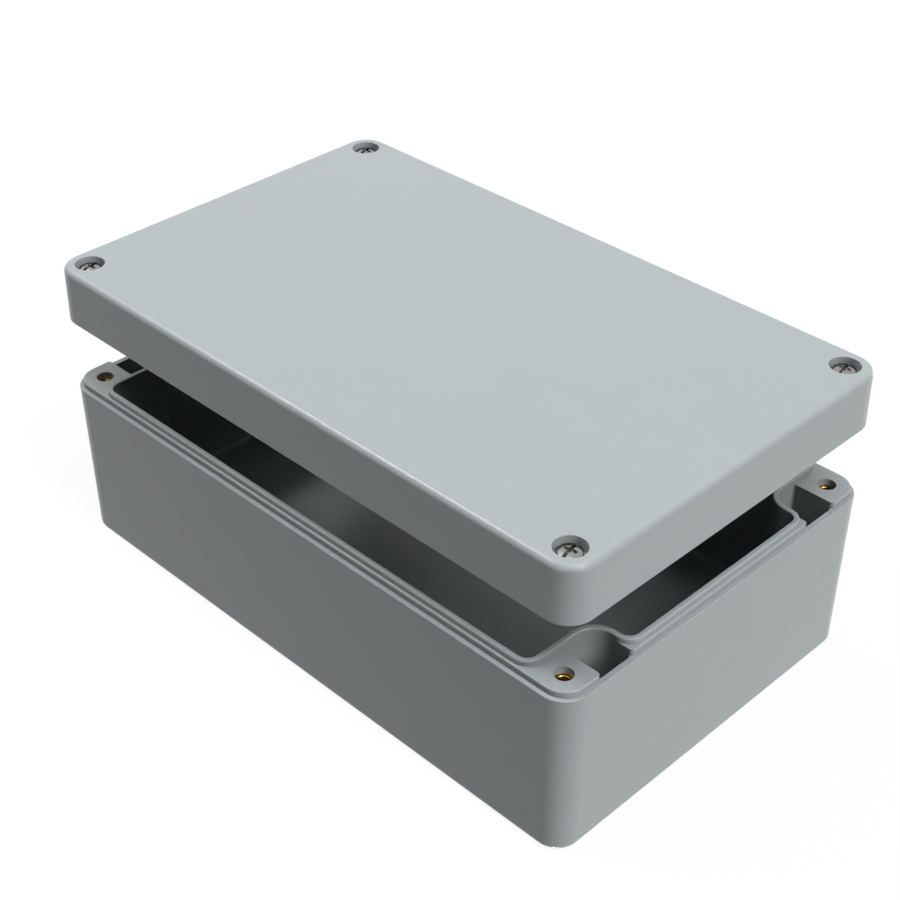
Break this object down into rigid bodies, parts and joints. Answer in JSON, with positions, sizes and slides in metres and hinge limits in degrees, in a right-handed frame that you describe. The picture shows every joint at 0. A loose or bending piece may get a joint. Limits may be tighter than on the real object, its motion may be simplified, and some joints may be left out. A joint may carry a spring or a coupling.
{
  "type": "electronics enclosure",
  "caption": "Rectangular wall-mounting electronics enclosure: a deep moulded base with a raised sealing rim, corner bosses and fixing wells, and a gasketed lid held by captive screws.",
  "frame": {"origin": "centre of the base's floor face, the face that rests on a surface or wall", "axes": "+X along the long side, +Y along the short side, +Z out of the open base towards the lid"},
  "size_m": [0.26, 0.16, 0.1209],
  "materials": {
    "housing": "smooth moulded, silver grey",
    "seal": "closed-cell foam, matt black",
    "screw": "bright stainless",
    "washer": "plain black nylon",
    "insert": "turned brass"
  },
  "bodies": {
    "base": {"base": "housing", "lid_insert_front_left": "insert", "floor_insert_front_left": "insert", "lid_insert_front_right": "insert", "floor_insert_front_right": "insert", "lid_insert_back_right": "insert", "floor_insert_back_right": "insert", "lid_insert_back_left": "insert", "floor_insert_back_left": "insert"},
    "lid": {"lid": "housing", "gasket": "seal"},
    "washer_front_left": {"retaining_washer_front_left": "washer"},
    "screw_front_left": {"lid_screw_front_left": "screw"},
    "washer_front_right": {"retaining_washer_front_right": "washer"},
    "screw_front_right": {"lid_screw_front_right": "screw"},
    "washer_back_right": {"retaining_washer_back_right": "washer"},
    "screw_back_right": {"lid_screw_back_right": "screw"},
    "washer_back_left": {"retaining_washer_back_left": "washer"},
    "screw_back_left": {"lid_screw_back_left": "screw"}
  },
  "joints": [
    {"name": "lid_lift", "type": "slide", "parent": "base", "child": "lid", "axis": [0, 0, 1], "range_m": [-0.0305, 0.03]},
    {"name": "screw_travel_front_left", "type": "slide", "parent": "lid", "child": "washer_front_left", "axis": [0, 0, 1], "range_m": [0, 0.0059]},
    {"name": "screw_turn_front_left", "type": "hinge", "parent": "washer_front_left", "child": "screw_front_left", "pos_m": [-0.12, -0.07, 0.1164], "axis": [0, 0, 1], "continuous": true},
    {"name": "screw_travel_front_right", "type": "slide", "parent": "lid", "child": "washer_front_right", "axis": [0, 0, 1], "range_m": [0, 0.0059]},
    {"name": "screw_turn_front_right", "type": "hinge", "parent": "washer_front_right", "child": "screw_front_right", "pos_m": [0.12, -0.07, 0.1164], "axis": [0, 0, 1], "continuous": true},
    {"name": "screw_travel_back_right", "type": "slide", "parent": "lid", "child": "washer_back_right", "axis": [0, 0, 1], "range_m": [0, 0.0059]},
    {"name": "screw_turn_back_right", "type": "hinge", "parent": "washer_back_right", "child": "screw_back_right", "pos_m": [0.12, 0.07, 0.1164], "axis": [0, 0, 1], "continuous": true},
    {"name": "screw_travel_back_left", "type": "slide", "parent": "lid", "child": "washer_back_left", "axis": [0, 0, 1], "range_m": [0, 0.0059]},
    {"name": "screw_turn_back_left", "type": "hinge", "parent": "washer_back_left", "child": "screw_back_left", "pos_m": [-0.12, 0.07, 0.1164], "axis": [0, 0, 1], "continuous": true}
  ]
}
